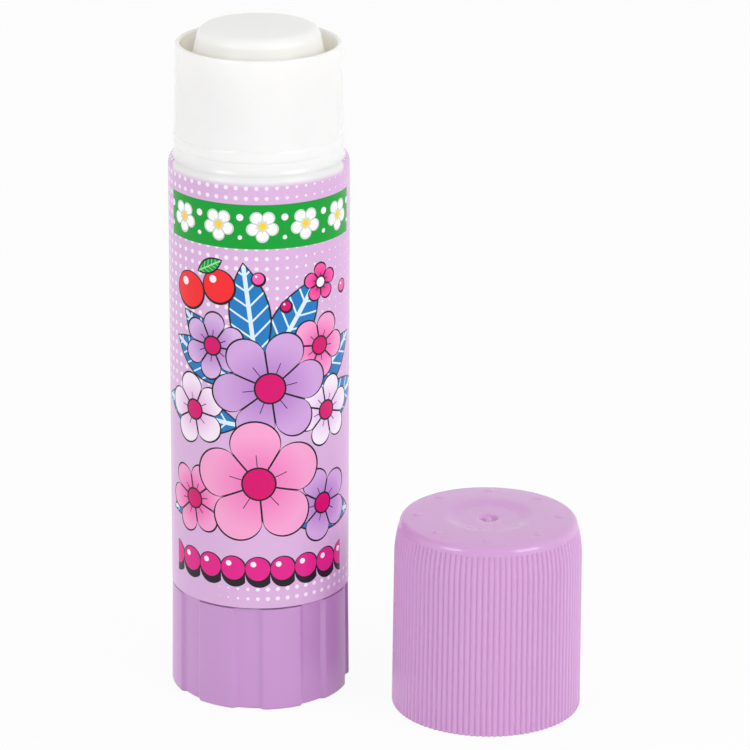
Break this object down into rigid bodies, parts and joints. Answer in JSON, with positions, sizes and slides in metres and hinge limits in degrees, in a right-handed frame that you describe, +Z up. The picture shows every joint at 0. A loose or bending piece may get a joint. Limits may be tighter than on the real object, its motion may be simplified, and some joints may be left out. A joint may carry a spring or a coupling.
{
  "type": "glue stick",
  "caption": "Twist-up glue stick in a round tube with a fluted turning knob, its knurled cap taken off and standing beside it.",
  "frame": {"origin": "on the stick's axis, at the middle of the knob's flat underside, on the surface that it stands on", "axes": "+Z up the stick's axis, towards the glue; +X towards the side that the cap stands on; -Y towards the viewer"},
  "size_m": [0.0575, 0.0337, 0.0953],
  "materials": {
    "white_tube": "satin",
    "printed_film": "printed satin film",
    "lilac_knob": "satin",
    "plain_plastic": "matte",
    "cast_glue": "waxy",
    "lilac_cap": "satin"
  },
  "bodies": {
    "tube": {"barrel": "white_tube", "label_sleeve": "printed_film"},
    "knob": {"turning_knob": "lilac_knob", "spindle": "plain_plastic"},
    "glue": {"carrier": "plain_plastic", "glue_column": "cast_glue"},
    "cap": {"cap": "lilac_cap"}
  },
  "joints": [
    {"name": "knob_turn", "type": "hinge", "parent": "tube", "child": "knob", "pos_m": [0, 0, 0], "axis": [0, 0, 1], "range_deg": [0, 4500]},
    {"name": "glue_lift", "type": "slide", "parent": "tube", "child": "glue", "axis": [0, 0, 1], "range_m": [0, 0.0625]},
    {"name": "cap_lift", "type": "slide", "parent": "tube", "child": "cap", "axis": [0, 0, 1], "range_m": [0, 0.1]}
  ],
  "couplings": [
    {"joint": "knob_turn", "follows": "glue_lift", "rad_per_m": 1256.6}
  ]
}
